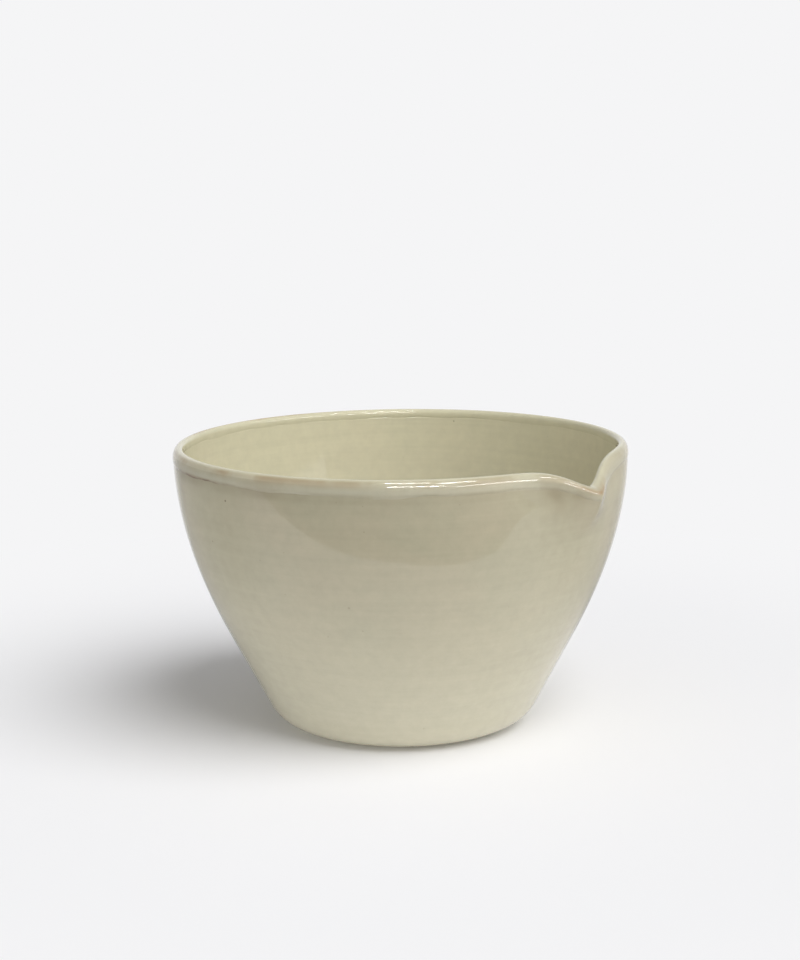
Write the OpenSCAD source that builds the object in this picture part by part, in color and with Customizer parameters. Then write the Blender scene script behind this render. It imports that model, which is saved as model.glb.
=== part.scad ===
// Prep bowl in glazed stoneware, with a pouring lip pressed into the rim.
// Units are millimetres. The table is z = 0, +Z is up and +X points to the pouring lip.

/* [Part] */
// Which piece to show

/* [Bowl] */
// Width across the rim, glaze included
rim_d = 200; // [150:1:280]
// Height of the rim above the table, glaze included
bowl_h = 125.5; // [95:0.5:180]
// Outward run of the straight lower wall for each unit of rise
flare_share = 0.52; // [0.3:0.01:0.7]
// Share of the height at which the wall starts to turn upright
straight_share = 0.33; // [0.15:0.01:0.6]
// How late the turn comes, where 1 is an even turn
turn_power = 1.15; // [0.8:0.05:2]
// Radius of the rounded heel where the wall meets the underside
heel_r = 16; // [8:0.5:24]

/* [Clay] */
// Thickness of the clay wall
wall_t = 3.7; // [3:0.1:7]
// Height over which the outside of the wall rounds in to the rim
rim_round_h = 4.1; // [2:0.1:8]
// Share of the wall's thickness that lies outside the peak of the rim
rim_peak_share = 0.65; // [0.4:0.01:0.75]
// Thickness of the clay floor
floor_t = 6; // [4:0.1:12]
// Radius of the curve between the floor and the wall inside
inside_r = 30; // [15:1:45]

/* [Foot] */
// Outside diameter of the foot ring
foot_d = 86; // [60:1:100]
// Width of the foot ring's bare face
foot_w = 6; // [3:0.5:12]
// Height of the foot ring
foot_h = 1.2; // [0.8:0.1:6]
// Width of the wiped clay on either side of the foot ring
bare_w = 1.2; // [0.5:0.1:2]

/* [Pouring lip] */
// How far the lip dips at its tip
lip_dip = 10; // [6:0.1:18]
// Angle from the tip over which the dip fades
lip_dip_angle = 10.3; // [8:0.1:18]
// How evenly the dip fades, where 1 is a sharp notch and 2 is a soft wave
lip_dip_power = 1.5; // [1.2:0.01:2]
// How far the tip is drawn out of the round wall
lip_draw = 7; // [0:0.1:9]
// Angle from the tip over which the drawn ridge fades
lip_draw_angle = 5.8; // [4:0.1:12]
// How evenly the ridge fades, where 1 is a sharp edge and 2 is a soft wave
lip_draw_power = 1.4; // [1.2:0.05:2]
// Share of the draw that the inside face follows, which leaves the tip thicker
lip_inner_share = 0.45; // [0.3:0.05:1]
// Height below the rim over which the dip fades
lip_reach = 34; // [28:0.5:50]
// Height below the rim over which the ridge runs out
lip_draw_reach = 31; // [20:0.5:50]
// How far each flank is pressed in
lip_press = 2.5; // [0:0.1:6]
// Angle from the tip to the middle of each pressed flank
lip_press_at = 14; // [10:0.1:20]
// Angle over which each pressed flank fades
lip_press_angle = 13; // [8:0.1:14]
// Height below the rim over which the pressed flanks fade
lip_press_reach = 18; // [12:0.5:40]

/* [Glaze] */
// Thickness of the single coat of glaze
glaze_t = 0.4; // [0.2:0.05:0.8]
// Thickness of the double coat on the rim
rim_glaze_t = 0.65; // [0.3:0.05:1.2]
// Height of the double coat below the rounded rim, outside
rim_band_h = 2.5; // [1:0.1:12]
// Height of the double coat below the rounded rim, inside
rim_inner_h = 3; // [1:0.1:12]

/* [Hidden] */
clay_r = rim_d / 2 - rim_glaze_t;
clay_h = bowl_h - rim_glaze_t;
rim_out = wall_t * rim_peak_share;
rim_in = wall_t - rim_out;
inner_round_h = 1.25 * rim_in;
turn_z = clay_h * straight_share;
turn_h = clay_h - turn_z;
floor_z = foot_h + floor_t;
foot_r = foot_d / 2;
foot_in_r = foot_r - foot_w;
groove_width = 1.45;
ridge_power = 1.45;

// Steps of the facets: round the bowl, up the wall, and round each curve of the section
shaped_angle = 42;
shaped_steps = 32;
round_steps = 46;
wall_steps = 6;
curve_steps = 5;
rim_steps = 5;
inner_rim_steps = 3;

// The angles round the bowl from the pouring lip, closer together where the wall is shaped
turns = concat(
  [for (k = [0:shaped_steps - 1]) shaped_angle * (2 * k / shaped_steps - 1)],
  [for (k = [0:round_steps - 1]) shaped_angle + (360 - 2 * shaped_angle) * k / round_steps]
);
turn_count = len(turns);

// The wall: how far it has turned upright, its slope, and its outer and inner radius at a height
function turned(z) = max(0, min(1, (z - turn_z) / turn_h));
function slope_at(z) = flare_share * (1 - pow(turned(z), turn_power));
function outer_r(z) =
  let (u = turned(z), p = turn_power + 1)
  clay_r - flare_share * (turn_h * ((1 - u) - (1 - pow(u, p)) / p) + max(0, turn_z - z));
function inner_r(z) = outer_r(z) - wall_t * norm([1, slope_at(z)]);

// The height at which a curve of a given radius, standing on a level, meets the wall smoothly
function meet_z(level, radius, z, tries) =
  tries == 0 ? z : meet_z(level, radius, level + radius * (1 - sin(atan(slope_at(z)))), tries - 1);
heel_z = meet_z(foot_h, heel_r, foot_h, 4);
heel_angle = atan(slope_at(heel_z));
heel_x = outer_r(heel_z) - heel_r * cos(heel_angle);
inside_z = meet_z(floor_z, inside_r, floor_z, 4);
inside_angle = atan(slope_at(inside_z));
inside_x = inner_r(inside_z) - inside_r * cos(inside_angle);

// The pouring lip: how far it is moved at an angle from its tip, and how that fades down from the rim
function bell(angle, spread, power = 2) = exp(-pow(abs(angle) / spread, power));
function from_tip(a) = a > 180 ? a - 360 : a;
function dip_at(a) = lip_dip * bell(a, lip_dip_angle, lip_dip_power);
function draw_at(a, inner) =
  lip_draw * (
    (1 - inner) * bell(a, lip_draw_angle, lip_draw_power)
    + inner * lip_inner_share * bell(a, lip_draw_angle * groove_width)
  );
function press_at(a) =
  lip_press * (bell(a - lip_press_at, lip_press_angle) + bell(a + lip_press_at, lip_press_angle));
function smooth(x) = x <= 0 ? 0 : x >= 1 ? 1 : x * x * (3 - 2 * x);
function fade(z, reach) = smooth(1 - (clay_h - z) / reach);
function run_out(z, reach) = pow(max(0, 1 - (clay_h - z) / reach), ridge_power);

// Places on the clay's section, each a radius, a height, the outward direction there and how far
// it belongs to the inside face, from 0 to 1
function on_curve(x, z, radius, angle, side) =
  [x + radius * cos(angle), z + radius * sin(angle), side * cos(angle), side * sin(angle), (1 - side) / 2];
function on_outer(z) =
  let (m = slope_at(z), n = norm([1, m]))
  [outer_r(z), z, 1 / n, -m / n, 0];
function on_inner(z) =
  let (m = slope_at(z), n = norm([1, m]))
  [inner_r(z), z, -1 / n, m / n, 1];
function between(low, high, k, steps) = low + (high - low) * k / steps;

// A place on the rounded rim, which leaves the wall smoothly: side is 1 outside and -1 inside.
// The peak of the rim follows the inside face.
function on_rim(side, wide, high, angle) =
  let (
    z = clay_h - high * (1 - sin(angle)),
    x = (side > 0 ? outer_r(z) : inner_r(z)) - side * wide * (1 - cos(angle)),
    out = [side * high * cos(angle), wide * sin(angle) - side * slope_at(z) * high * cos(angle)],
    n = norm(out)
  )
  [x, z, out[0] / n, out[1] / n, side > 0 ? 1 - cos(angle) : 1];

heel_part = [
  for (k = [0:curve_steps])
    on_curve(heel_x, foot_h + heel_r, heel_r, between(-90, -heel_angle, k, curve_steps), 1)
];
band_z = clay_h - rim_round_h - rim_band_h;
inner_band_z = clay_h - inner_round_h - rim_inner_h;
outer_part = [
  for (k = [0:wall_steps]) on_outer(between(max(turn_z, heel_z + glaze_t), band_z, k, wall_steps))
];
rim_part = concat(
  [for (k = [0:rim_steps]) on_rim(1, rim_out, rim_round_h, between(0, 90, k, rim_steps))],
  [for (k = [1:inner_rim_steps]) on_rim(-1, rim_in, inner_round_h, between(90, 0, k, inner_rim_steps))]
);
inner_part = [
  for (k = [0:wall_steps]) on_inner(between(inner_band_z, max(turn_z, inside_z + glaze_t), k, wall_steps))
];
inside_part = [
  for (k = [0:curve_steps])
    on_curve(inside_x, floor_z + inside_r, inside_r, between(-inside_angle, -90, k, curve_steps), -1)
];
clay_face = concat(heel_part, outer_part, rim_part, inner_part, inside_part);

// A coat's section is the clay's own places, each moved out along its direction
function coated(places, t) = [for (q = places) [q[0] + t * q[2], q[1] + t * q[3], q[1], q[4]]];
function reversed(list) = [for (k = [len(list) - 1:-1:0]) list[k]];

// A place on the section, taken to an angle round the bowl and moved by the pouring lip
function placed(q, a) =
  let (
    t = from_tip(a),
    drawn = draw_at(t, q[3]) * run_out(q[2], lip_draw_reach),
    r = q[0] + drawn - press_at(t) * fade(q[2], lip_press_reach)
  )
  [r * cos(a), r * sin(a), q[1] - dip_at(t) * fade(q[2], lip_reach)];

// The four corners between two rings of places, as two triangles split along either diagonal
function two_triangles(low, high, j, crossed) =
  let (next = (j + 1) % turn_count, a = low + j, b = high + j, c = high + next, d = low + next)
  crossed ? [[a, b, d], [b, c, d]] : [[a, b, c], [a, c, d]];

// A solid that closes on the axis at both ends of its section
module turned_solid(bottom_z, section, top_z, contact_rings = 0) {
  count = len(section);
  pole = count * turn_count;
  corners = concat([for (q = section, a = turns) placed(q, a)], [[0, 0, bottom_z], [0, 0, top_z]]);
  sides = [
    for (i = [0:count - 2], j = [0:turn_count - 1])
      each two_triangles(i * turn_count, (i + 1) * turn_count, j, i < contact_rings - 1)
  ];
  last = (count - 1) * turn_count;
  caps = [
    for (j = [0:turn_count - 1])
      let (next = (j + 1) % turn_count)
      each [[pole, j, next], [last + j, pole + 1, last + next]]
  ];
  polyhedron(corners, concat(sides, caps), convexity = 6);
}

// A ring of glaze between its outer face and the clay that it lies on
module glaze_ring(places, t) {
  count = len(places);
  section = concat(coated(places, t), reversed(coated(places, 0)));
  corners = [for (q = section, a = turns) placed(q, a)];
  sides = [
    for (i = [0:2 * count - 1], j = [0:turn_count - 1])
      each two_triangles(i * turn_count, (i + 1) % (2 * count) * turn_count, j, i >= count)
  ];
  polyhedron(corners, sides, convexity = 6);
}

// The thrown clay: floor, wall and shaped lip in one section, with a turned foot ring under it
module clay_body() {
  color([0.72, 0.62, 0.5]) {
    turned_solid(foot_h, coated(clay_face, 0), floor_z);
    difference() {
      cylinder(h = foot_h + floor_t / 2, r = foot_r, $fn = turn_count);
      translate([0, 0, -foot_h])
        cylinder(h = 2 * foot_h, r = foot_in_r, $fn = turn_count);
    }
  }
}

// The single coat outside, from beside the foot ring up to the rim's double coat
module outside_glaze() {
  color([0.71, 0.68, 0.58])
    glaze_ring(concat([[foot_r + bare_w, foot_h, 0, -1, 0]], heel_part, outer_part), glaze_t);
}

// The double coat, over the rounded rim and a short way down both faces
module rim_glaze() {
  color([0.76, 0.72, 0.6])
    glaze_ring(concat([on_outer(band_z)], rim_part, [on_inner(inner_band_z)]), rim_glaze_t);
}

// The single coat inside, from the rim's double coat down over the floor
module inside_glaze() {
  face = concat(inner_part, inside_part);
  color([0.73, 0.7, 0.57])
    turned_solid(
      floor_z, concat(reversed(coated(face, 0)), coated(face, glaze_t)), floor_z + glaze_t, len(face)
    );
}

// The glazed disc in the hollow inside the foot ring
module underside_glaze() {
  color([0.71, 0.68, 0.58])
    translate([0, 0, foot_h - glaze_t])
      cylinder(h = glaze_t, r = foot_in_r - bare_w, $fn = turn_count);
}

clay_body();
outside_glaze();
rim_glaze();
inside_glaze();
underside_glaze();
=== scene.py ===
# %% [markdown]
# This lesson dresses one object: a round stoneware prep bowl, thrown on a wheel, glazed a pale
# sage and pressed at the rim into a pouring lip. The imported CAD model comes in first. It fixes
# every size, and whatever Blender adds stays inside its box.

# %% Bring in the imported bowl
import math
from collections import namedtuple

import bpy
from mathutils import Matrix, Vector


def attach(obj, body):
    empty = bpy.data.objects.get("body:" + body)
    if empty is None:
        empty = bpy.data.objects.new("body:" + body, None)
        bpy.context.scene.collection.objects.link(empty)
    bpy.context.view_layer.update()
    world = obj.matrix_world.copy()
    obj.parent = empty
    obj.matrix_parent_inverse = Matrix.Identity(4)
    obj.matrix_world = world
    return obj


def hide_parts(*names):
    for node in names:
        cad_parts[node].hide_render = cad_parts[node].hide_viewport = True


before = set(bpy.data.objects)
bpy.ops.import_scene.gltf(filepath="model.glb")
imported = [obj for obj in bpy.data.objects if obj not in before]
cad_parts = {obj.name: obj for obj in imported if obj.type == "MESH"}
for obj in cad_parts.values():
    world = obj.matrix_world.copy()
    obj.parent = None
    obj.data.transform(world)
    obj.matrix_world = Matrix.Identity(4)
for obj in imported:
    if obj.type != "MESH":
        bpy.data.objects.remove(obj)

scene = bpy.context.scene
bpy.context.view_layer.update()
print("pieces in the CAD model:", ", ".join(sorted(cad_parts)))

# %% [markdown]
# The camera comes before any shape, so that each try can be set beside the photograph. The
# bowl was seen from a little above, 85 cm from its middle, with the pouring lip turned to the
# right of the view. The row's +X axis points to the lip, so the camera stands 38 degrees
# round from the front, and it leans a little, because the photograph does.

# %% The camera
ROUND_FROM_FRONT, DISTANCE, EYE_HEIGHT = 38, 0.85, 0.26246
TILT, LEAN = 79.69, -0.643
VIEW = Matrix.Rotation(math.radians(ROUND_FROM_FRONT), 4, "Z")


def seen(x, y, z):
    """A place given as right, away and up from the camera's side, in the row's frame."""
    return VIEW @ Vector((x, y, z))


lens = bpy.data.cameras.new("camera")
lens.lens = 73.394
lens.shift_x = -0.00118
camera = bpy.data.objects.new("camera", lens)
camera.matrix_world = (
    Matrix.Translation(seen(0, -DISTANCE, EYE_HEIGHT))
    @ VIEW
    @ Matrix.Rotation(math.radians(TILT), 4, "X")
    @ Matrix.Rotation(math.radians(LEAN), 4, "Z")
)
scene.collection.objects.link(camera)
scene.camera = camera
print("camera at", [round(v, 3) for v in camera.matrix_world.translation])

# %% [markdown]
# The sizes are the CAD model's, in millimetres: the whole bowl, the slant and turn of its wall,
# the curves at its heel and inside, its thickness, its foot, the coats of glaze and the rim.

# %% The sizes of the bowl
RIM_D, BOWL_H = 200.0, 125.5
FLARE, STRAIGHT_SHARE, TURN_POWER = 0.52, 0.33, 1.15
HEEL_R, INSIDE_R = 16.0, 30.0
WALL_T, FLOOR_T = 3.7, 6.0
FOOT_D, FOOT_W, FOOT_H, BARE_W = 86.0, 6.0, 1.2, 1.2
GLAZE_T, RIM_GLAZE_T = 0.4, 0.65
RIM_ROUND_H, RIM_PEAK_SHARE, INNER_ROUND = 4.1, 0.65, 1.25
RIM_BAND_H, RIM_INNER_H = 2.5, 3.0

clay_r, clay_h = RIM_D / 2 - RIM_GLAZE_T, BOWL_H - RIM_GLAZE_T
rim_out = WALL_T * RIM_PEAK_SHARE
rim_in = WALL_T - rim_out
inner_round_h = INNER_ROUND * rim_in
turn_z = clay_h * STRAIGHT_SHARE
turn_h = clay_h - turn_z
floor_z = FOOT_H + FLOOR_T
print("the clay alone is", 2 * clay_r, "mm wide and", clay_h, "mm high")

# %% [markdown]
# A thrown pot is one section turned round an axis. The section could be drawn by hand as a
# curve, but the CAD model gives a rule for it, and the same rule is used here: the wall leaves
# the heel on a straight slant and eases upright towards the rim.

# %% The rule of the wall


def turned(z):
    return max(0.0, min(1.0, (z - turn_z) / turn_h))


def slope_at(z):
    return FLARE * (1 - turned(z) ** TURN_POWER)


def outer_r(z):
    u, p = turned(z), TURN_POWER + 1
    return clay_r - FLARE * (turn_h * ((1 - u) - (1 - u ** p) / p) + max(0.0, turn_z - z))


def inner_r(z):
    return outer_r(z) - WALL_T * math.hypot(1, slope_at(z))


def meet_z(level, radius):
    """The height at which a curve of this radius, standing on a level, meets the wall."""
    z = level
    for _ in range(4):
        z = level + radius * (1 - math.sin(math.atan(slope_at(z))))
    return z


heel_z, inside_z = meet_z(FOOT_H, HEEL_R), meet_z(floor_z, INSIDE_R)
heel_angle = math.degrees(math.atan(slope_at(heel_z)))
inside_angle = math.degrees(math.atan(slope_at(inside_z)))
heel_x = outer_r(heel_z) - HEEL_R * math.cos(math.radians(heel_angle))
inside_x = inner_r(inside_z) - INSIDE_R * math.cos(math.radians(inside_angle))
print("the heel turns up at radius", round(heel_x, 1), "mm and the floor inside at", round(inside_x, 1), "mm")

# %% [markdown]
# A section is a list of places from the middle of the underside, up the outside, over the lip
# and down the inside. Each place keeps its radius and height, the way out of the pot there, its
# level on the clay, because the pouring lip moves clay and glaze of one level together, and how
# far it belongs to the inside face, which follows the drawn tip only in part.

# %% Ways to draw part of a section
Place = namedtuple("Place", "r z out_r out_z level inner", defaults=(0.0,))


def steps_between(start, stop, steps):
    return [start + (stop - start) * k / steps for k in range(steps + 1)]


def arc(x, z, radius, start, stop, steps, side=1):
    """Places on part of a circle, from one angle to another."""
    places = []
    for a in map(math.radians, steps_between(start, stop, steps)):
        c, s = math.cos(a), math.sin(a)
        high = z + radius * s
        places.append(Place(x + radius * c, high, side * c, side * s, high, (1 - side) / 2))
    return places


def wall(radius_at, low, high, steps, side=1):
    """Places up the outside of the wall, or down the inside of it with side -1."""
    places = []
    for z in steps_between(low, high, steps):
        n = math.hypot(1, slope_at(z))
        places.append(Place(radius_at(z), z, side / n, -side * slope_at(z) / n, z, (1 - side) / 2))
    return places


def rounded(side, wide, high, start, stop, steps):
    """Places on the rounded rim, which leaves the wall smoothly on either side of its peak."""
    places = []
    for a in map(math.radians, steps_between(start, stop, steps)):
        c, s = math.cos(a), math.sin(a)
        z = clay_h - high * (1 - s)
        r = (outer_r(z) if side > 0 else inner_r(z)) - side * wide * (1 - c)
        out_r, out_z = side * high * c, wide * s - side * slope_at(z) * high * c
        n = math.hypot(out_r, out_z)
        places.append(Place(r, z, out_r / n, out_z / n, z, 1 - c if side > 0 else 1.0))
    return places


def raised(place, t):
    """The same place in a coat of thickness t."""
    return place._replace(r=place.r + t * place.out_r, z=place.z + t * place.out_z)


print("a place keeps", ", ".join(Place._fields))

# %% [markdown]
# The clay's faces are drawn one after another, so that each coat can take the ones it covers.
# The rim is rounder outside than inside, because the potter compresses it with a strip of
# leather: its peak stands two thirds of the way in.

# %% The faces of the clay
rim_start, inner_rim_start = clay_h - RIM_ROUND_H, clay_h - inner_round_h
heel = arc(heel_x, FOOT_H + HEEL_R, HEEL_R, -90, -heel_angle, 16)
outside = wall(outer_r, heel_z, rim_start, 60)[1:]
lip_outside = rounded(1, rim_out, RIM_ROUND_H, 0, 90, 18)[1:]
lip = lip_outside + rounded(-1, rim_in, inner_round_h, 90, 0, 10)[1:-1]
inside = wall(inner_r, inner_rim_start, inside_z, 44, -1)
inside_curve = arc(inside_x, floor_z + INSIDE_R, INSIDE_R, -inside_angle, -90, 22, -1)[1:]
print("the clay's faces have", len(heel + outside + lip + inside + inside_curve), "places")

# %% [markdown]
# Each coat of glaze is a thin closed skin on the clay. Where glaze stops, its edge is drawn to
# a rounded bead and wanders, since it was dipped and not cut. A place therefore also carries
# three weights, from 0 to 1: how much it wanders along the wall, how much it swells and sinks
# with the coat, and how near it is to the coat's edge, where the glaze breaks brown.

# %% Rows of a section
Row = namedtuple("Row", "place wander swell edge")
BROWN_FROM, BROWN_W = 0.9, 1.8
FINE = [0, 0.04, 0.1, 0.18, 0.28, 0.4, 0.55, 0.75, 1.0, 1.3]
SUNK = -0.12  # the back of a coat lies this deep in the clay


def plain(places, t=0.0, swell=0.0):
    """Rows that lie evenly on the clay, or in a coat of thickness t."""
    return [Row(raised(p, t), 0.0, swell, 0.0) for p in places]


def ease(x):
    x = max(0.0, min(1.0, x))
    return x * x * (3 - 2 * x)


def bead(spans, place_at, thin, thick, width, reach, swell=0.0, soft=False):
    """Rows in from the edge of a coat, which thickens from thin to thick over its width."""
    rows = []
    for s in spans:
        share, place = min(1.0, s / width), place_at(s)
        t = thin + (thick - thin) * (ease(share) if soft else math.sqrt(1 - (1 - share) ** 2))
        edge = 0.0 if place.inner > 0.5 else 1 - ease((s - BROWN_FROM) / BROWN_W)
        rows.append(Row(raised(place, t), 1 - ease(s / reach), swell * ease(s / reach), edge))
    return rows


def outer_place(z):
    return wall(outer_r, z, z, 1)[0]


def inner_place(z):
    return wall(inner_r, z, z, 1, -1)[0]


def level_place(radius, z, up=-1.0):
    return Place(radius, z, 0.0, up, z)


def under_place(radius):
    return level_place(radius, FOOT_H)


print("a coat's edge is drawn with", len(FINE), "rows in its first", FINE[-1], "mm")

# %% [markdown]
# The foot ring is turned with a loop tool when the clay is leather hard, and its corners are
# rubbed round with a wet finger. The clay's section runs from the middle of the underside over
# the ring and right round to the middle of the floor inside.

# %% The section of the clay
foot_r, foot_in_r = FOOT_D / 2, FOOT_D / 2 - FOOT_W
RUBBED, FILLET = 0.45, 0.3
foot = (
    [under_place(r) for r in (0.0, 12.0, 24.0, 33.0, 36.0, 36.6)]
    + arc(foot_in_r - FILLET, FOOT_H - FILLET, FILLET, 90, 0, 3, -1)[:-1]
    + arc(foot_in_r + RUBBED, RUBBED, RUBBED, 180, 270, 5)
    + [level_place(foot_in_r + FOOT_W * k / 6, 0.0) for k in (1, 2, 3, 4, 5)]
    + arc(foot_r - RUBBED, RUBBED, RUBBED, 270, 360, 5)
    + arc(foot_r + FILLET, FOOT_H - FILLET, FILLET, 180, 90, 3, -1)
    + [under_place(r) for r in (43.8, 44.6, 45.4)]
)
clay_floor = [level_place(r, floor_z, 1.0) for r in (24.0, 12.0, 0.0)]
clay_rows = plain(foot + heel + outside[::2] + lip[::2] + inside[::2] + inside_curve[::2] + clay_floor)
print("the clay has", len(clay_rows), "rows")

# %% [markdown]
# The bowl was dipped once, up to the rim, and the rim was dipped again. So the outside coat
# runs from the wiped foot to just under the rim's coat, the rim's coat runs over the lip, and
# the inside coat closes on the axis. The underside has a disc of its own inside the ring.

# %% The sections of the coats
edge_r, disc_r = foot_r + BARE_W, foot_in_r - BARE_W
outside_top = rim_start - 0.2
outside_face = [p for p in outside if p.z < outside_top]
outside_rows = (
    bead(FINE[:-1], lambda s: under_place(edge_r + s), SUNK, GLAZE_T, 0.8, 1.2)
    + plain(heel + outside_face, GLAZE_T)
    + [Row(raised(outer_place(outside_top), t), 0, 0, 0) for t in (0.38, 0.2, SUNK)]
    + plain(([under_place(edge_r + 0.3)] + heel[::2] + outside_face[::4])[::-1], SUNK)
)

band_z, inner_band_z = rim_start - RIM_BAND_H, inner_rim_start - RIM_INNER_H
outer_spans = FINE + [1.6, 1.9, 2.2, RIM_BAND_H]
inner_spans = FINE + [1.7, 2.2, 2.6, RIM_INNER_H]
outer_edge = bead(outer_spans, lambda s: outer_place(band_z + s), 0.3, RIM_GLAZE_T, 1.9, RIM_BAND_H, 1, True)
inner_edge = bead(inner_spans, lambda s: inner_place(inner_band_z + s), 0.3, RIM_GLAZE_T, 2.4, RIM_INNER_H, 1, True)
rim_rows = (
    outer_edge
    + plain(lip, RIM_GLAZE_T, 1)
    + inner_edge[::-1]
    + plain((outside[-3::2] + lip[::2] + inside[:2])[::-1], SUNK)
)

inside_top = inner_band_z + 2.3
inside_face = [p for p in inside if p.z < inside_top]
inside_floor = [level_place(r, floor_z, 1.0) for r in (30.0, 22.0, 14.0, 7.0, 0.0)]
inside_rows = (
    plain((inside_face[::2] + inside_curve[::2] + inside_floor)[::-1], SUNK)
    + [Row(raised(inner_place(inside_top), t), 0, 0, 0) for t in (SUNK, 0.2, 0.38)]
    + plain(inside_face + inside_curve + inside_floor, GLAZE_T)
)

under_rows = (
    plain([under_place(r) for r in (0.0, 8.0, 16.0, 24.0, 31.0)], GLAZE_T)
    + bead(FINE[:-1], lambda s: under_place(disc_r - s), SUNK, GLAZE_T, 0.8, 1.2)[::-1]
    + plain([under_place(r) for r in (34.0, 17.0, 0.0)], SUNK)
)
for coat, rows in (("outside", outside_rows), ("rim", rim_rows), ("inside", inside_rows), ("underside", under_rows)):
    print("the", coat, "coat has", len(rows), "rows")

# %% [markdown]
# A few short helpers keep the node trees readable. One adds a node, sets its options and fills
# or joins its inputs. The others do sums with Math nodes, and map one range to another with
# soft ends. They serve geometry and materials alike.

# %% Helpers for node trees


def fill(tree, socket, value):
    """Join an input to another node, or set its value."""
    if isinstance(value, bpy.types.NodeSocket):
        tree.links.new(value, socket)
    else:
        socket.default_value = value


def node(tree, kind, inputs=None, **options):
    """Add a node, with its inputs by name or number and its options by name."""
    made = tree.nodes.new(kind)
    for name, value in options.items():
        setattr(made, name, value)
    for name, value in (inputs or {}).items():
        fill(tree, made.inputs[name], value)
    made.location = (190 * (len(tree.nodes) // 6), -170 * (len(tree.nodes) % 6))
    return made


def calc(tree, operation, *values, clamp=False):
    """One step of a sum, such as ADD or MULTIPLY, on sockets or numbers."""
    return node(tree, "ShaderNodeMath", dict(enumerate(values)), operation=operation, use_clamp=clamp).outputs[0]


def product(tree, whole, *others):
    for other in others:
        whole = calc(tree, "MULTIPLY", whole, other)
    return whole


def total(tree, whole, *pairs):
    """A first value and the product of each pair, all added up."""
    for first, second in pairs:
        whole = calc(tree, "MULTIPLY_ADD", first, second, whole)
    return whole


def spread(tree, value, low, high, to_low=0.0, to_high=1.0, kind="SMOOTHSTEP"):
    """Map a value from one range to another with soft ends."""
    ranges = {"Value": value, "From Min": low, "From Max": high, "To Min": to_low, "To Max": to_high}
    return node(tree, "ShaderNodeMapRange", ranges, interpolation_type=kind).outputs["Result"]


def dot(tree, vector, way):
    both = {0: vector, 1: way}
    return node(tree, "ShaderNodeVectorMath", both, operation="DOT_PRODUCT").outputs["Value"]


def colour(red, green, blue):
    """A colour as it looks on screen, 0 to 255, turned into the linear values of a socket."""
    levels = (c / 255 for c in (red, green, blue))
    return (*(c / 12.92 if c <= 10 / 255 else ((c + 0.055) / 1.055) ** 2.4 for c in levels), 1.0)


print("a mid grey of 128 is", round(colour(128, 128, 128)[0], 3), "in linear light")

# %% [markdown]
# Glazes are judged by eye, and a glaze is a few patterns laid over each other. A painted image
# could hold them, but noise on the object's own coordinates has no seam and holds up close to.
# These helpers read the coordinates, make the noise, mix colours and read the weights that the
# wheel writes on each piece.

# %% Patterns for a finish


def in_place(tree, stretch=(1, 1, 1)):
    """The object's own coordinates in metres, drawn out along an axis by a small factor."""
    where = node(tree, "ShaderNodeTexCoord").outputs["Object"]
    return node(tree, "ShaderNodeMapping", {"Vector": where, "Scale": stretch}).outputs["Vector"]


def noise(tree, where, scale, detail=2.0, rough=0.5, distortion=0.0):
    settings = {"Vector": where, "Scale": scale, "Detail": detail, "Roughness": rough, "Distortion": distortion}
    return node(tree, "ShaderNodeTexNoise", settings).outputs["Fac"]


def blend(tree, share, first, second, mode="MIX"):
    made = node(tree, "ShaderNodeMix", {"Factor": share}, data_type="RGBA", blend_type=mode)
    fill(tree, made.inputs[6], first)
    fill(tree, made.inputs[7], second)
    return made.outputs[2]


def attribute(tree, name):
    return node(tree, "ShaderNodeAttribute", attribute_name=name).outputs["Fac"]


def new_finish(name):
    """A material, its tree and its main shader."""
    material = bpy.data.materials.new(name)
    material.use_nodes = True
    return material, material.node_tree, material.node_tree.nodes["Principled BSDF"]


print("patterns are laid out in metres, so a noise scale of 50 has features about 2 cm wide")

# %% [markdown]
# Stoneware clay holds bits of iron, and in the firing some melt through the glaze as dark
# specks. Small ones are scattered by a cell pattern, in which only some cells hold a speck. The
# three that the eye finds on this bowl are placed one by one, by angle from the lip and height.

# %% Iron specks
SPECKS = (  # degrees from the lip, height in mm, outside 1 or inside -1, radius in m, strength
    (-98.2, 112.5, 1, 0.00048, 1.0),
    (-106.6, 93.0, 1, 0.0004, 0.6),
    (112.2, 120.0, -1, 0.0005, 0.5),
)


def specks(tree, where, scale, size, share):
    """Small round specks: one may sit in each cell, and only a share of the cells has one."""
    cells = node(tree, "ShaderNodeTexVoronoi", {"Vector": where, "Scale": scale, "Randomness": 1.0})
    chance = node(tree, "ShaderNodeSeparateColor", {"Color": cells.outputs["Color"]})
    radius = calc(tree, "MULTIPLY_ADD", chance.outputs["Green"], size, size * 0.4)
    away = calc(tree, "DIVIDE", cells.outputs["Distance"], radius)
    return product(tree, spread(tree, away, 0.6, 1.0, 1.0, 0.0), calc(tree, "LESS_THAN", chance.outputs["Red"], share))


def mark(tree, where, angle, z, side, radius):
    """One iron speck at an angle from the lip and a height, outside (side 1) or inside (side -1)."""
    r = (outer_r(z) if side > 0 else inner_r(z)) + side * GLAZE_T
    a = math.radians(angle)
    spot = (r * math.cos(a) / 1000, r * math.sin(a) / 1000, z / 1000)
    away = node(tree, "ShaderNodeVectorMath", {0: where, 1: spot}, operation="DISTANCE").outputs["Value"]
    return spread(tree, away, radius * 0.5, radius * 1.1, 1.0, 0.0)


def iron_specks(tree, where, faint=0.22):
    scattered = calc(tree, "MAXIMUM", specks(tree, where, 62, 0.034, 0.4), specks(tree, where, 210, 0.06, 0.35))
    iron = product(tree, scattered, faint)
    for angle, z, side, radius, strength in SPECKS:
        iron = calc(tree, "MAXIMUM", iron, product(tree, mark(tree, where, angle, z, side, radius), strength))
    return iron


print(len(SPECKS), "specks are placed by hand")
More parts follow.
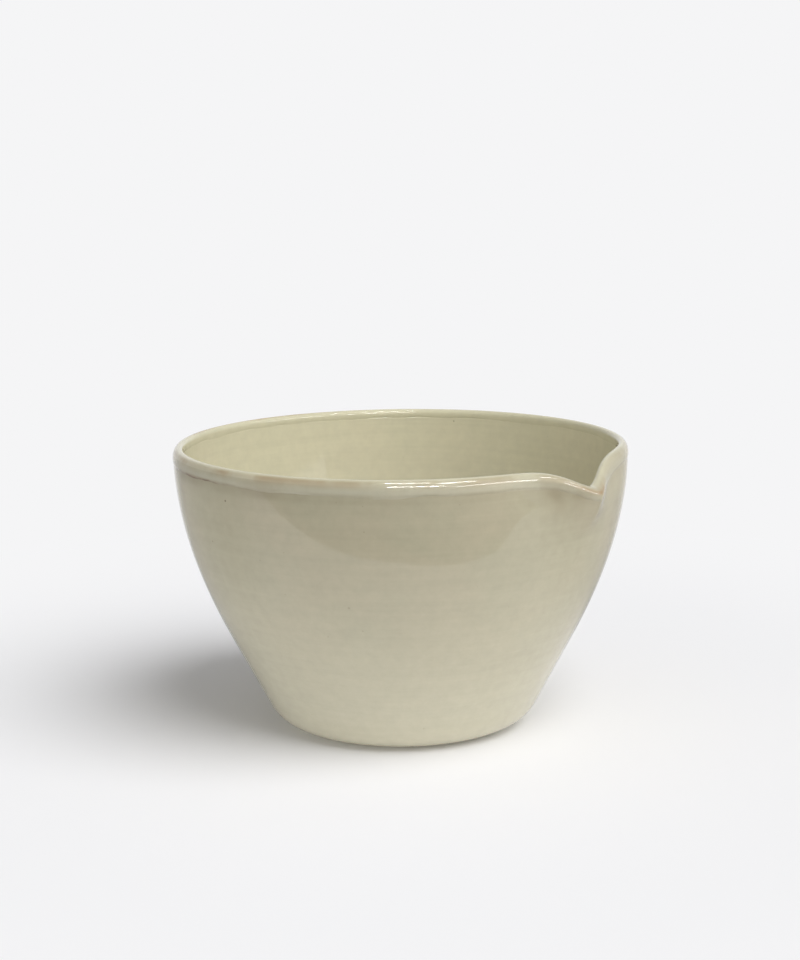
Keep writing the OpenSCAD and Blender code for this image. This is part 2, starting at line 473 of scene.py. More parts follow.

# %% [markdown]
# This glaze is a pale sage over a warm clay, almost even, with a cloudy shift between a cooler
# and a warmer tone and faint level streaks left by throwing. The melt drains off corners and
# edges, and the clay warms it there: to a dull brown where it has drained, to tan on the corner
# of the lip, and to rust brown on one stretch of the rim coat's edge. An olive tone lays painted
# shade in the line under the rim's coat, on the band right of the lip and in the hollow left of
# the tip. The wheel writes a weight for each of these on the piece, and a pattern breaks it up
# here.

# %% The glaze
CLOUDS, PATCHES, BREAKS, MOTTLE, GRAIN = 26, 48, 70, 60, 210
# The third tone here is painted shade, laid under the rim's coat and beside the lip.
DRAINED, TAN, PAINTED_SHADE_TONE = colour(150, 136, 106), colour(164, 140, 108), colour(116, 105, 78)
RUST, IRON = colour(104, 76, 44), colour(84, 72, 50)


def make_glaze(name, cool, warm, foot, inner=None):
    material, tree, look = new_finish(name)
    where = in_place(tree)
    clouds = spread(tree, noise(tree, where, CLOUDS, 3, 0.55, 0.4), 0.35, 0.65)
    tone = blend(tree, clouds, cool, warm)
    height = node(tree, "ShaderNodeSeparateXYZ", {"Vector": where}).outputs["Z"]
    tone = blend(tree, spread(tree, height, 0.02, 0.1, 1.0, 0.0, "LINEAR"), tone, foot)
    if inner:
        tone = blend(tree, attribute(tree, "inner_face"), tone, inner)

    fine = spread(tree, noise(tree, where, GRAIN, 4, 0.6), 0.3, 0.7, 0.965, 1.035, "LINEAR")
    streaks = noise(tree, in_place(tree, (9, 9, 330)), 1.0, 3, 0.6)
    shade = product(tree, fine, spread(tree, streaks, 0.3, 0.7, 0.975, 1.025, "LINEAR"))
    grey = node(tree, "ShaderNodeCombineColor", {0: shade, 1: shade, 2: shade}).outputs[0]
    tone = blend(tree, 1.0, tone, grey, "MULTIPLY")

    patchy = spread(tree, noise(tree, where, PATCHES, 3, 0.6), 0.42, 0.62)
    broken = spread(tree, noise(tree, where, BREAKS, 4, 0.65), 0.35, 0.6)
    for weight, pattern, varied, least, thin_and_shade_tone in (
        ("drained", patchy, 0.3, 0.12, DRAINED),
        ("lip_corner", patchy, 0.8, 0.2, TAN),
        # painted shade: a darker olive where the wall lies in shade under the rim and by the lip
        ("painted_shade", clouds, 0.3, 0.35, PAINTED_SHADE_TONE),
        ("burnt_edge", broken, 0.5, 0.5, RUST),
    ):
        uneven = calc(tree, "MULTIPLY_ADD", pattern, varied, least)
        share = calc(tree, "MULTIPLY", attribute(tree, weight), uneven, clamp=True)
        tone = blend(tree, share, tone, thin_and_shade_tone)
    tone = blend(tree, product(tree, iron_specks(tree, where), 0.85), tone, IRON)

    relief = total(tree, 0.0, (streaks, 0.6), (noise(tree, where, 120, 3, 0.5), 0.5))
    bump = node(tree, "ShaderNodeBump", {"Strength": 0.35, "Distance": 0.0001, "Height": relief})
    gloss = spread(tree, noise(tree, where, MOTTLE, 3, 0.5), 0.3, 0.7, 0.03, 0.06, "LINEAR")
    fill(tree, look.inputs["Base Color"], tone)
    fill(tree, look.inputs["Roughness"], gloss)
    fill(tree, look.inputs["Normal"], bump.outputs["Normal"])
    look.inputs["IOR"].default_value = 1.6
    print("made", name, "with", len(tree.nodes), "nodes")
    return material


# The inside copy and the double coat are lighter than the outside glaze: partly a thicker coat, and partly painted
# light, for the brighter inside of the bowl and the sheen on the rim's band.
inner_tone = colour(200, 195, 168)
sage = make_glaze("sage_glaze", colour(178, 172, 147), colour(182, 174, 149), colour(180, 175, 154))
sage_inside = make_glaze("sage_glaze_inside", inner_tone, colour(202, 196, 169), inner_tone)
sage_double = make_glaze(
    "sage_glaze_double_coat", colour(191, 187, 165), colour(194, 188, 165), colour(190, 186, 163), inner_tone
)

# %% [markdown]
# The clay shows only on the foot, where glaze would weld the bowl to the kiln shelf. Fired
# stoneware is matt and tan, sandy with grog, and the turning tool leaves fine rings on it.
# The rings follow the distance from the axis, which a few Math nodes find from the coordinates.

# %% The bare clay
LIGHT_CLAY, DARK_CLAY = colour(188, 160, 126), colour(168, 138, 104)
GROG, BURNT_GRIT = colour(222, 204, 176), colour(92, 70, 48)
RINGS = 900.0

clay, tree, look = new_finish("fired_stoneware")
where = in_place(tree)
parts = node(tree, "ShaderNodeSeparateXYZ", {"Vector": where}).outputs
squares = [calc(tree, "POWER", parts[axis], 2.0) for axis in "XY"]
from_axis = calc(tree, "SQRT", calc(tree, "ADD", *squares))
ring_place = {"X": product(tree, from_axis, RINGS), "Y": product(tree, parts["Z"], RINGS)}
rings = noise(tree, node(tree, "ShaderNodeCombineXYZ", ring_place).outputs[0], 1.0, 2, 0.5)
sand = noise(tree, where, 1500, 3, 0.7)

tone = blend(tree, spread(tree, noise(tree, where, 45, 4, 0.6), 0.3, 0.7), LIGHT_CLAY, DARK_CLAY)
tone = blend(tree, product(tree, spread(tree, sand, 0.62, 0.72), 0.5), tone, GROG)
tone = blend(tree, product(tree, specks(tree, where, 420, 0.12, 0.4), 0.7), tone, BURNT_GRIT)
relief = total(tree, 0.0, (rings, 0.7), (sand, 0.5))
bump = node(tree, "ShaderNodeBump", {"Strength": 0.6, "Distance": 0.00025, "Height": relief})
fill(tree, look.inputs["Base Color"], tone)
fill(tree, look.inputs["Normal"], bump.outputs["Normal"])
fill(tree, look.inputs["Roughness"], spread(tree, sand, 0.3, 0.7, 0.78, 0.92, "LINEAR"))
print("made", clay.name, "with", len(tree.nodes), "nodes")

# %% [markdown]
# Geometry Nodes play the wheel. The tree takes a section as a line of points and lays a grid
# with one row for each point and one column for each step of the turn. Every grid point looks
# up its place on the section, turns it to its own angle and then feels the potter's fingers at
# the lip: drawn out and down at the tip, pressed in on both flanks. Spin or a Screw modifier
# would turn the section too, but could not shape the lip on the way.
#
# Much on the rim swells at one angle and fades on both sides of it, so that comes first, as a
# small group of its own.

# %% A small group for a swell that fades on both sides


def input_socket(tree, name, kind="NodeSocketFloat", value=None):
    socket = tree.interface.new_socket(name, in_out="INPUT", socket_type=kind)
    if value is not None:
        socket.default_value = value


bell = bpy.data.node_groups.new("bell_curve", "GeometryNodeTree")
for name in ("Angle", "Spread", "Power"):
    input_socket(bell, name)
bell.interface.new_socket("Amount", in_out="OUTPUT", socket_type="NodeSocketFloat")
given = node(bell, "NodeGroupInput").outputs
share = calc(bell, "DIVIDE", calc(bell, "ABSOLUTE", given["Angle"]), given["Spread"])
away = calc(bell, "POWER", share, given["Power"])
node(bell, "NodeGroupOutput", {"Amount": calc(bell, "EXPONENT", product(bell, away, -1.0))})
print("the bell group has", len(bell.nodes), "nodes")

# %% [markdown]
# Every size of the lip, of the wandering edges and of the thin places is a named input of the
# tree, in metres and degrees, so that a potter could try another lip without opening the tree.
# Angles run from the tip of the lip, and the seed fixes the noise.

# %% The inputs of the wheel
SIZES = {
    "Rim Height": clay_h / 1000,
    "Lip Dip": 0.010, "Dip Angle": 10.3, "Dip Power": 1.5, "Dip Reach": 0.034,
    "Lip Draw": 0.007, "Draw Angle": 5.8, "Draw Power": 1.4, "Draw Reach": 0.031, "Draw Fade": 1.45,
    "Inner Share": 0.45, "Groove Width": 1.45,
    "Flank Press": 0.0025, "Flank Place": 14.0, "Flank Angle": 13.0, "Flank Reach": 0.018,
    "Edge Wander": 0.0028, "Wander Scale": 3.2, "Coat Swell": 0.00012, "Swell Scale": 5.0, "Seed": 7.0,
    "Band Line": (rim_start - RIM_BAND_H) / 1000, "Line Wander": 0.0028,
    "Thin And Shade Place": -110.0, "Thin And Shade Width": 38.0, "Burnt Place": -111.0, "Burnt Width": 12.0,
    "Tip Width": 5.5,
}
wheel = bpy.data.node_groups.new("thrown_piece", "GeometryNodeTree")
input_socket(wheel, "Section", "NodeSocketGeometry")
input_socket(wheel, "Turns", "NodeSocketInt", 480)
for name, value in SIZES.items():
    input_socket(wheel, name, value=value)
input_socket(wheel, "Finish", "NodeSocketMaterial")
wheel.interface.new_socket("Piece", in_out="OUTPUT", socket_type="NodeSocketGeometry")
given = node(wheel, "NodeGroupInput").outputs
print("the wheel has", len(given) - 1, "inputs")

# %% [markdown]
# A grid's points are numbered column by column, so a point's number gives its row and column.
# The row picks a place on the section. The column gives an angle, from -180 to 180 degrees with
# the lip at 0, which puts the seam of the turn opposite the lip.

# %% The grid, and what each point looks up on the section
points = node(wheel, "GeometryNodeAttributeDomainSize", {"Geometry": given["Section"]}).outputs["Point Count"]
columns = calc(wheel, "ADD", given["Turns"], 1.0)
grid = node(wheel, "GeometryNodeMeshGrid", {"Vertices X": columns, "Vertices Y": points})
index = node(wheel, "GeometryNodeInputIndex").outputs[0]
column = calc(wheel, "FLOOR", calc(wheel, "DIVIDE", calc(wheel, "ADD", index, 0.5), points))
row = calc(wheel, "SUBTRACT", index, product(wheel, column, points))
angle = calc(wheel, "SUBTRACT", product(wheel, calc(wheel, "DIVIDE", column, given["Turns"]), 360.0), 180.0)
radians = calc(wheel, "RADIANS", angle)
across, along = calc(wheel, "COSINE", radians), calc(wheel, "SINE", radians)


def from_section(name, vector=False):
    """A value that the section carries, looked up for this row."""
    kind = "FLOAT_VECTOR" if vector else "FLOAT"
    if name:
        value = node(wheel, "GeometryNodeInputNamedAttribute", {"Name": name}, data_type=kind).outputs["Attribute"]
    else:
        value = node(wheel, "GeometryNodeInputPosition").outputs[0]
    looked_up = {"Geometry": given["Section"], "Value": value, "Index": row}
    return node(wheel, "GeometryNodeSampleIndex", looked_up, data_type=kind).outputs["Value"]


place = node(wheel, "ShaderNodeSeparateXYZ", {"Vector": from_section(None, True)}).outputs
out = node(wheel, "ShaderNodeSeparateXYZ", {"Vector": from_section("out", True)}).outputs
level, inner = from_section("level"), from_section("inner")
print("the grid takes", len(wheel.nodes), "nodes so far")

# %% [markdown]
# A dipped coat ends on a line that wanders, because the bowl is held by hand, and its thickness
# swells and sinks a little all round. Noise on a circle gives both, and meets itself without a
# seam. The inside takes its noise from another height, so that it wanders on its own.

# %% The wandering edge and the swell of a coat
side_height = product(wheel, calc(wheel, "ROUND", inner), 3.0)
round_place = node(wheel, "ShaderNodeCombineXYZ", {"X": across, "Y": along, "Z": side_height}).outputs[0]


def round_noise(scale, detail, seed_step):
    seed = calc(wheel, "ADD", given["Seed"], seed_step)
    settings = {"Vector": round_place, "W": seed, "Scale": scale, "Detail": detail, "Roughness": 0.6}
    return node(wheel, "ShaderNodeTexNoise", settings, noise_dimensions="4D").outputs["Fac"]


astray = product(wheel, calc(wheel, "SUBTRACT", round_noise(given["Wander Scale"], 4.0, 0.0), 0.5), 2.0)
wander = product(wheel, astray, given["Edge Wander"], from_section("wander"))
sink = round_noise(given["Swell Scale"], 2.0, 11.0)
swell = product(wheel, sink, given["Coat Swell"], from_section("swell"), -1.0)
print("the wander and the swell bring it to", len(wheel.nodes), "nodes")

# %% [markdown]
# The potter makes the lip with three fingers while the clay is soft: two press the flanks in
# from outside and one draws the tip out and down between them. Each of these is a bell round
# the tip times a fade down from the rim. The inside follows the draw only in part and over a
# wider groove, because the finger is thicker than the ridge that it draws.

# %% The pouring lip


def bell_at(from_angle, angle_spread, power=2.0):
    made = node(wheel, "GeometryNodeGroup", node_tree=bell)
    for name, value in (("Angle", from_angle), ("Spread", angle_spread), ("Power", power)):
        fill(wheel, made.inputs[name], value)
    return made.outputs["Amount"]


def around(middle, angle_spread):
    """1 at an angle from the lip, fading on both sides of it."""
    return bell_at(calc(wheel, "SUBTRACT", angle, middle), angle_spread)


def fade_over(reach):
    """1 at the rim, fading softly to 0 a given way below it."""
    return spread(wheel, level, calc(wheel, "SUBTRACT", given["Rim Height"], reach), given["Rim Height"])


dip_bell = bell_at(angle, given["Dip Angle"], given["Dip Power"])
dip = product(wheel, given["Lip Dip"], dip_bell, fade_over(given["Dip Reach"]))

below_rim = calc(wheel, "DIVIDE", calc(wheel, "SUBTRACT", given["Rim Height"], level), given["Draw Reach"])
left_over = calc(wheel, "MAXIMUM", calc(wheel, "SUBTRACT", 1.0, below_rim), 0.0)
drawn = calc(wheel, "POWER", left_over, given["Draw Fade"])
ridge = bell_at(angle, given["Draw Angle"], given["Draw Power"])
groove_angle = product(wheel, given["Draw Angle"], given["Groove Width"])
groove = product(wheel, bell_at(angle, groove_angle), given["Inner Share"])
followed = total(wheel, 0.0, (ridge, calc(wheel, "SUBTRACT", 1.0, inner)), (groove, inner))
draw = product(wheel, given["Lip Draw"], followed, drawn)

other_flank = product(wheel, given["Flank Place"], -1.0)
both_flanks = [around(middle, given["Flank Angle"]) for middle in (given["Flank Place"], other_flank)]
flanks = calc(wheel, "ADD", *both_flanks)
press = product(wheel, given["Flank Press"], flanks, fade_over(given["Flank Reach"]))

down_wall = product(wheel, out["Z"], -1.0)
radius = total(wheel, place["X"], (draw, 1.0), (press, -1.0), (swell, out["X"]), (wander, down_wall))
rise = total(wheel, place["Z"], (dip, -1.0), (swell, out["Z"]), (wander, out["X"]))
turned_place = {"X": product(wheel, radius, across), "Y": product(wheel, radius, along), "Z": rise}
position = node(wheel, "ShaderNodeCombineXYZ", turned_place).outputs[0]
shaped = node(wheel, "GeometryNodeSetPosition", {"Geometry": grid.outputs["Mesh"], "Position": position}).outputs[0]
print("the lip brings it to", len(wheel.nodes), "nodes")

# %% [markdown]
# Where the glaze is thin, and where shade is painted, depends on both the section and the
# angle, so the wheel is the place to work it out. The glaze is thin on the corner of the rim,
# most of all at the tip of the lip, on the inside corner opposite the lip and along the coat's
# edge on the left. Painted shade darkens a soft line under the band there, the band to the right
# of the lip and the hollow to the left of the tip. Each is a product of a weight from the section
# and a bell round its angle.

# %% Where the glaze runs thin, and where shade is painted
# Angle from the tip and width of each place of painted shade, in degrees
RIGHT_OF_LIP, LIP_HOLLOW, LIP_FLANK, BACK_WIDTH = (32.0, 26.0), (-13.0, 9.0), (-10.0, 8.0), 28.0


def below_line(start, reach):
    """1 at the wandering line of the band, fading to 0 a given way below it."""
    line = total(wheel, given["Band Line"], (astray, given["Line Wander"]))
    return spread(wheel, calc(wheel, "SUBTRACT", line, level), start, reach, 1.0, 0.0)


corner, coat_edge = from_section("corner"), from_section("coat_edge")
# The left side takes thin glaze on the rim's corner and painted shade under the band.
thin_and_shade_left = total(wheel, 0.15, (around(given["Thin And Shade Place"], given["Thin And Shade Width"]), 0.85))
# Painted shade: a soft line under the band on the left, the band right of the lip, and the hollow and flank left of
# the tip.
line_depth = total(wheel, 0.0, (below_line(0.0002, 0.0024), 0.5), (below_line(0.0, 0.009), 0.3))
line_shade = total(wheel, 0.0, (line_depth, from_section("below_band")), (from_section("on_band"), 0.42))
painted_shade = total(
    wheel, 0.0,
    (line_shade, thin_and_shade_left),
    (product(wheel, from_section("rim_outside"), 0.3), around(*RIGHT_OF_LIP)),
    (from_section("under_lip"), around(*LIP_HOLLOW)),
    (from_section("flank"), around(*LIP_FLANK)),
)
at_tip = total(wheel, 0.3, (bell_at(angle, given["Tip Width"]), 0.7))
from_back = calc(wheel, "SUBTRACT", 180.0, calc(wheel, "ABSOLUTE", angle))
lip_corner = total(
    wheel, 0.0,
    (from_section("lip_corner"), at_tip),
    (from_section("inner_corner"), bell_at(from_back, BACK_WIDTH)),
    (product(wheel, corner, 0.7), thin_and_shade_left),
)
drained = calc(wheel, "MAXIMUM", corner, product(wheel, coat_edge, 0.8))
burnt_share = calc(wheel, "POWER", coat_edge, 1.5)
burnt_edge = product(wheel, burnt_share, around(given["Burnt Place"], given["Burnt Width"]))
weights = {
    "lip_corner": lip_corner, "drained": drained, "burnt_edge": burnt_edge, "inner_face": inner, "painted_shade": painted_shade,
}
print("the thin places bring it to", len(wheel.nodes), "nodes and", len(weights), "weights")

# %% [markdown]
# The weights are stored on the mesh, where the glaze reads them as attributes. The seam of the
# turn and the points on the axis are merged, which closes the piece.

# %% The end of the wheel
made = shaped
for name, value in weights.items():
    stored = {"Geometry": made, "Name": name, "Value": value}
    made = node(wheel, "GeometryNodeStoreNamedAttribute", stored, data_type="FLOAT", domain="POINT").outputs[0]
made = node(wheel, "GeometryNodeMergeByDistance", {"Geometry": made, "Distance": 0.000002}).outputs[0]
made = node(wheel, "GeometryNodeSetShadeSmooth", {"Geometry": made, "Shade Smooth": True}).outputs[0]
made = node(wheel, "GeometryNodeRealizeInstances", {"Geometry": made}).outputs[0]
made = node(wheel, "GeometryNodeSetMaterial", {"Geometry": made, "Material": given["Finish"]}).outputs[0]
node(wheel, "NodeGroupOutput", {"Piece": made})
print("the wheel has", len(wheel.nodes), "nodes in all")

# %% [markdown]
# A section becomes a mesh of points in a line, and everything the wheel looks up is written on
# it. The corners of the rim are soft bands round a lean of its surface: 20 and 40 degrees back
# from upright for the outside, and 104 for the inside, just past the top.

# %% Write a section


def tilt_of(place):
    return math.degrees(math.atan2(place.out_z, place.out_r))


def corner_at(place, tilt, width):
    """1 where the rim's surface leans back by this angle, fading on both sides."""
    return math.exp(-((tilt_of(place) - tilt) / width) ** 2) if place.level > rim_start - 0.01 else 0.0


def under_lip_at(place, reach):
    """1 on the outside just under the corner of the rim, fading over a given reach."""
    if place.out_r <= 0:
        return 0.0
    return (1 - ease((band_z - place.level) / reach)) * (1 - ease((tilt_of(place) - 6) / 16))


ROW_VALUES = {
    "level": lambda p, row: p.level / 1000,
    "inner": lambda p, row: p.inner,
    "wander": lambda p, row: row.wander,
    "swell": lambda p, row: row.swell,
    "coat_edge": lambda p, row: row.edge,
    "lip_corner": lambda p, row: corner_at(p, 20, 12),
    "corner": lambda p, row: corner_at(p, 40, 16),
    "inner_corner": lambda p, row: corner_at(p, 104, 18),
    # The next five weights place only painted shade: under the band, on the band and by the lip.
    "below_band": lambda p, row: p.out_r > 0 and p.level <= rim_start and not row.swell,
    "on_band": lambda p, row: p.out_r > 0 and row.swell and tilt_of(p) < 20,
    "rim_outside": lambda p, row: row.swell and tilt_of(p) < 70,
    "under_lip": lambda p, row: 0.45 * under_lip_at(p, 12),
    "flank": lambda p, row: 0.65 * under_lip_at(p, 34),
}


def section_mesh(name, rows):
    mesh = bpy.data.meshes.new(name + "_section")
    line = [(k, k + 1) for k in range(len(rows) - 1)]
    mesh.from_pydata([(row.place.r / 1000, 0, row.place.z / 1000) for row in rows], line, [])
    for key, rule in ROW_VALUES.items():
        values = [float(rule(row.place, row)) for row in rows]
        mesh.attributes.new(key, "FLOAT", "POINT").data.foreach_set("value", values)
    ways = [v for row in rows for v in (row.place.out_r, 0.0, row.place.out_z)]
    mesh.attributes.new("out", "FLOAT_VECTOR", "POINT").data.foreach_set("vector", ways)
    return mesh


print("a section carries", len(ROW_VALUES) + 1, "values on each row")

# %% [markdown]
# To throw a piece, the tree is given the section, the finish and any size that differs for this
# piece. The result is kept as a plain mesh, with no modifier left on it. The outside coat's own
# edge, at the foot, hardly wanders, because a sponge wiped it on the turning wheel.

# %% Throw the five pieces


def throw(name, rows, finish, turns=480, closed=False, **changes):
    """Turn a section into a piece; a closed one comes back to its first row."""
    pot = bpy.data.objects.new(name, section_mesh(name, rows + rows[:1] if closed else rows))
    scene.collection.objects.link(pot)
    turning = pot.modifiers.new("wheel", "NODES")
    turning.node_group = wheel
    chosen = {"Turns": turns, "Finish": finish, **SIZES, **changes}
    for item in wheel.interface.items_tree:
        if item.item_type == "SOCKET" and item.in_out == "INPUT" and item.name in chosen:
            turning[item.identifier] = chosen[item.name]
    bpy.context.view_layer.update()
    shaped_mesh = bpy.data.meshes.new_from_object(pot.evaluated_get(bpy.context.evaluated_depsgraph_get()))
    pot.modifiers.remove(turning)
    pot.data = shaped_mesh
    shaped_mesh.name = name
    print(name, "has", sum(len(f.vertices) - 2 for f in shaped_mesh.polygons), "triangles")
    return pot


bowl_clay = throw("bowl_clay", clay_rows, clay, 360)
glaze_outside = throw("glaze_outside", outside_rows, sage, 480, True, **{"Edge Wander": 0.0003})
glaze_rim = throw("glaze_rim", rim_rows, sage_double, 600, True)
glaze_inside = throw("glaze_inside", inside_rows, sage_inside, 480)
disc_changes = {"Edge Wander": 0.0004, "Wander Scale": 6.0}
glaze_underside = throw("glaze_underside", under_rows, sage, 240, **disc_changes)

# %% [markdown]
# Each piece stands for one node of the CAD model and moves with its one body.

# %% Hand the pieces to the frame
for piece, cad_node, finish in (
    (bowl_clay, "clay_body", "stoneware"),
    (glaze_outside, "outside_glaze", "glaze"),
    (glaze_rim, "rim_glaze", "glaze_double"),
    (glaze_inside, "inside_glaze", "glaze"),
    (glaze_underside, "underside_glaze", "glaze"),
):
    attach(piece, "root")
    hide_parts(cad_node)
    print(piece.name, "stands for", cad_node)

# %% [markdown]
# The bowl stands in an empty white studio. The eye and the gloss see its walls as plain white,
# which carries no light of its own to the bowl: rays that do carry light see another, dimmer
# room instead. To the sides the gloss sees the white at half strength, so that the outline of
# the bowl keeps its own colour.

# %% What the eye and the gloss see
BACKDROP = colour(245, 245, 246)


def seen_ray(tree):
    """1 for rays from the camera, a reflection or a pane, and 0 for rays that carry light."""
    path = node(tree, "ShaderNodeLightPath").outputs
    eye_or_gloss = calc(tree, "MAXIMUM", path["Is Camera Ray"], path["Is Glossy Ray"])
    return calc(tree, "MAXIMUM", eye_or_gloss, path["Is Transmission Ray"])


def dimmer_in_gloss(tree, place):
    """Full strength to the camera, and half of it in a reflection of the room at the sides."""
    way_there = node(tree, "ShaderNodeVectorMath", {0: place}, operation="NORMALIZE").outputs[0]
    behind = dot(tree, way_there, seen(0, 1, 0))
    side = product(tree, spread(tree, behind, -0.6, 0.0), spread(tree, behind, 0.7, 0.96, 1.0, 0.0))
    share = product(tree, side, node(tree, "ShaderNodeLightPath").outputs["Is Glossy Ray"])
    return total(tree, 1.0, (share, -0.5))


print("the backdrop is", [round(v, 3) for v in BACKDROP[:3]], "in linear light")

# %% [markdown]
# The floor is a plain pale sweep of paper. Near the bowl it is lit as any matt surface, so it
# keeps the shadow. Further off it turns to the backdrop's own white, and no horizon shows. The
# paper glows a little for rays that carry light, which stands in for the studio's white around
# it, and it ends 20 cm in front of the bowl's middle, where the table is dark. The floor has one
# side only, so that a look from underneath finds the foot.

# %% The floor
PAPER, DARK_TABLE = colour(239, 239, 241), colour(40, 40, 40)
PAPER_END, PAPER_GLOW = (0.2, 0.22), 0.36
EYE_FADE, GLOSS_FADE = (0.1, 0.42), (0.09, 0.2)

paper, tree, look = new_finish("white_paper")
look.inputs["Roughness"].default_value = 1.0
look.inputs["Specular IOR Level"].default_value = 0.0
where = in_place(tree)
path = node(tree, "ShaderNodeLightPath").outputs
beyond = product(tree, spread(tree, dot(tree, where, seen(0, -1, 0)), *PAPER_END), path["Is Diffuse Ray"])
fill(tree, look.inputs["Base Color"], blend(tree, beyond, PAPER, DARK_TABLE))
glowing = calc(tree, "SUBTRACT", path["Is Diffuse Ray"], beyond)
fill(tree, look.inputs["Emission Strength"], product(tree, glowing, PAPER_GLOW))

far = node(tree, "ShaderNodeVectorMath", {0: where}, operation="LENGTH").outputs["Value"]
far_to_eye = product(tree, spread(tree, far, *EYE_FADE), seen_ray(tree))
far_to_gloss = product(tree, spread(tree, far, *GLOSS_FADE), path["Is Glossy Ray"])
empty = calc(tree, "MAXIMUM", far_to_eye, far_to_gloss)
glow = node(tree, "ShaderNodeEmission", {"Color": BACKDROP, "Strength": dimmer_in_gloss(tree, where)})
mixed = node(tree, "ShaderNodeMixShader", {0: empty, 1: look.outputs[0], 2: glow.outputs[0]})

backfacing = node(tree, "ShaderNodeNewGeometry").outputs["Backfacing"]
from_below = product(tree, backfacing, path["Is Camera Ray"])
clear = node(tree, "ShaderNodeBsdfTransparent")
one_sided = node(tree, "ShaderNodeMixShader", {0: from_below, 1: mixed.outputs[0], 2: clear.outputs[0]})
fill(tree, tree.nodes["Material Output"].inputs["Surface"], one_sided.outputs[0])

floor_mesh = bpy.data.meshes.new("floor")
floor_mesh.from_pydata([(-6, -6, 0), (6, -6, 0), (6, 6, 0), (-6, 6, 0)], [], [(0, 1, 2, 3)])
floor = bpy.data.objects.new("floor", floor_mesh)
floor.data.materials.append(paper)
scene.collection.objects.link(floor)
print("the floor is", round(floor.dimensions.x, 1), "m wide")

# %% [markdown]
# The dimmer room lights the bowl softly: a little from the ceiling, most from low in front, and
# some from either side, at two heights. The heights are parts of the world, cut by how far up a
# ray points.

# %% The light of the room
LOW_TO_MIDDLE, MIDDLE_TO_TOP, CEILING = (0.4, 0.55), (0.75, 0.87), 0.42

world = bpy.data.worlds.new("studio")
scene.world = world
world.use_nodes = True
tree = world.node_tree
tree.nodes.clear()
way = node(tree, "ShaderNodeTexCoord").outputs["Generated"]
upward = node(tree, "ShaderNodeSeparateXYZ", {"Vector": way}).outputs["Z"]
low = spread(tree, upward, *LOW_TO_MIDDLE, 1.0, 0.0)
middle = product(tree, spread(tree, upward, *LOW_TO_MIDDLE), spread(tree, upward, *MIDDLE_TO_TOP, 1.0, 0.0))
light = product(tree, spread(tree, upward, *MIDDLE_TO_TOP), CEILING)
for to_right, to_back, height, strength in (
    (0, -1, low, 1.2),
    (-1, 0, low, 0.84),
    (-1, 0, middle, 0.26),
    (1, 0, low, 0.55),
    (1, 0, middle, 0.36),
):
    facing = calc(tree, "MAXIMUM", dot(tree, way, seen(to_right, to_back, 0)), 0.0)
    light = total(tree, light, (product(tree, facing, height), strength))
room = node(tree, "ShaderNodeBackground", {"Color": (1, 1, 1, 1), "Strength": light})
backdrop = node(tree, "ShaderNodeBackground", {"Color": BACKDROP, "Strength": dimmer_in_gloss(tree, way)})
mixed = node(tree, "ShaderNodeMixShader", {0: seen_ray(tree), 1: room.outputs[0], 2: backdrop.outputs[0]})
node(tree, "ShaderNodeOutputWorld", {"Surface": mixed.outputs[0]})
print("the room has", len(tree.nodes), "nodes")

# %% [markdown]
# One broad key light stands high on the right, towards the camera. The soft shadow on the
# paper gives its height, about 50 degrees, and its width, also about 50. The gloss doesn't see
# it. Narrow lamps, which only the gloss sees, draw the thin white lines on the rim, and each
# stands where the rim's slope at its line looks.

# %% The lights
KEY_WIDTH, KEY_AZIMUTH, KEY_ELEVATION = 52, 48, 51.5
TUBE_DISTANCE, TUBE_HEIGHT = 1.6, 0.04
TUBES = (  # azimuth and elevation in degrees, width in m, glare
    (5, 63, 0.45, 95), (38, 52, 0.56, 60), (7, 26, 0.76, 70), (54, 20, 1.6, 27), (97, 31, 0.12, 18),
)


def toward(azimuth, elevation):
    """The way to a lamp: azimuth from straight in front, round to the right."""
    a, e = math.radians(azimuth), math.radians(elevation)
    return seen(math.sin(a) * math.cos(e), -math.cos(a) * math.cos(e), math.sin(e))


sun = bpy.data.lights.new("key", "SUN")
sun.energy = 2.55
sun.angle = math.radians(KEY_WIDTH)
key = bpy.data.objects.new("key", sun)
key.rotation_euler = toward(KEY_AZIMUTH, KEY_ELEVATION).to_track_quat("Z", "Y").to_euler()
key.visible_glossy = False
scene.collection.objects.link(key)

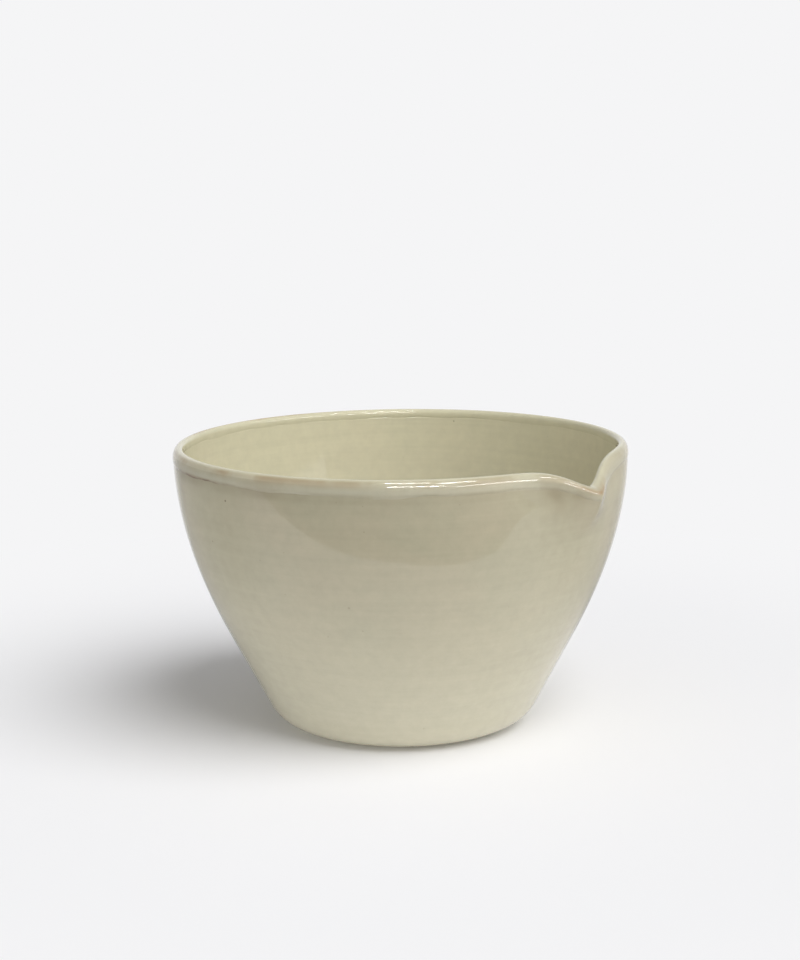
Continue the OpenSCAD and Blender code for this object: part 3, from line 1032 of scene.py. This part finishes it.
for azimuth, elevation, wide, glare in TUBES:
    tube = bpy.data.lights.new("tube", "AREA")
    tube.shape = "RECTANGLE"
    tube.size, tube.size_y = wide, TUBE_HEIGHT
    tube.energy = 0.05 * wide * glare * math.pi
    lamp = bpy.data.objects.new("tube", tube)
    lamp.location = toward(azimuth, elevation) * TUBE_DISTANCE + Vector((0, 0, 0.125))
    lamp.rotation_euler = toward(azimuth, elevation).to_track_quat("Z", "Y").to_euler()
    lamp.visible_camera = lamp.visible_diffuse = False
    scene.collection.objects.link(lamp)
print("one key light and", len(TUBES), "narrow lamps")

# %% [markdown]
# The photograph's table is dark beyond the end of its paper, and so is the room behind the
# camera. The gloss of the wall shows them as a darker patch under the rim, with a clear lower
# edge where the paper begins. Flat panels that only the gloss sees stand in for both. The
# paper's end is not quite straight, and that gives the patch its shape.

# %% The dark table and room
dark, tree, look = new_finish("dark_room")
look.inputs["Base Color"].default_value = (0.22, 0.22, 0.22, 1)
look.inputs["Roughness"].default_value = 1.0


def dark_panels(name, panels):
    """Flat dark panels that the camera doesn't see and that cast no shadow."""
    mesh = bpy.data.meshes.new(name)
    corners = [seen(*corner) for panel in panels for corner in panel]
    mesh.from_pydata(corners, [], [tuple(range(4 * k, 4 * k + 4)) for k in range(len(panels))])
    made = bpy.data.objects.new(name, mesh)
    made.data.materials.append(dark)
    scene.collection.objects.link(made)
    made.visible_camera = made.visible_shadow = made.visible_transmission = made.visible_diffuse = False
    print(name, "has", len(panels), "panels")


left, front, right, back, high = -1.8, -1.8, 1.8, 1.4, 2.6
on_table = 0.001
paper_end = (
    (left, -0.212), (0.0, -0.212), (0.07, -0.193), (0.157, -0.173), (0.264, -0.203), (0.346, -0.228), (right, -0.6),
)
dark_panels("dark_table", [
    ((a, front, on_table), (b, front, on_table), (b, y_b, on_table), (a, y_a, on_table))
    for (a, y_a), (b, y_b) in zip(paper_end, paper_end[1:])
])
dark_panels("dark_room", [
    ((left, front, 0), (right, front, 0), (right, front, high), (left, front, high)),
    ((left, front, 0), (left, back, 0), (left, back, high), (left, front, high)),
    ((left, front, high), (right, front, high), (right, back, high), (left, back, high)),
])

# %% [markdown]
# Colours are shown as they are written, so the view transform is Standard.

# %% Finish
scene.view_settings.view_transform = "Standard"
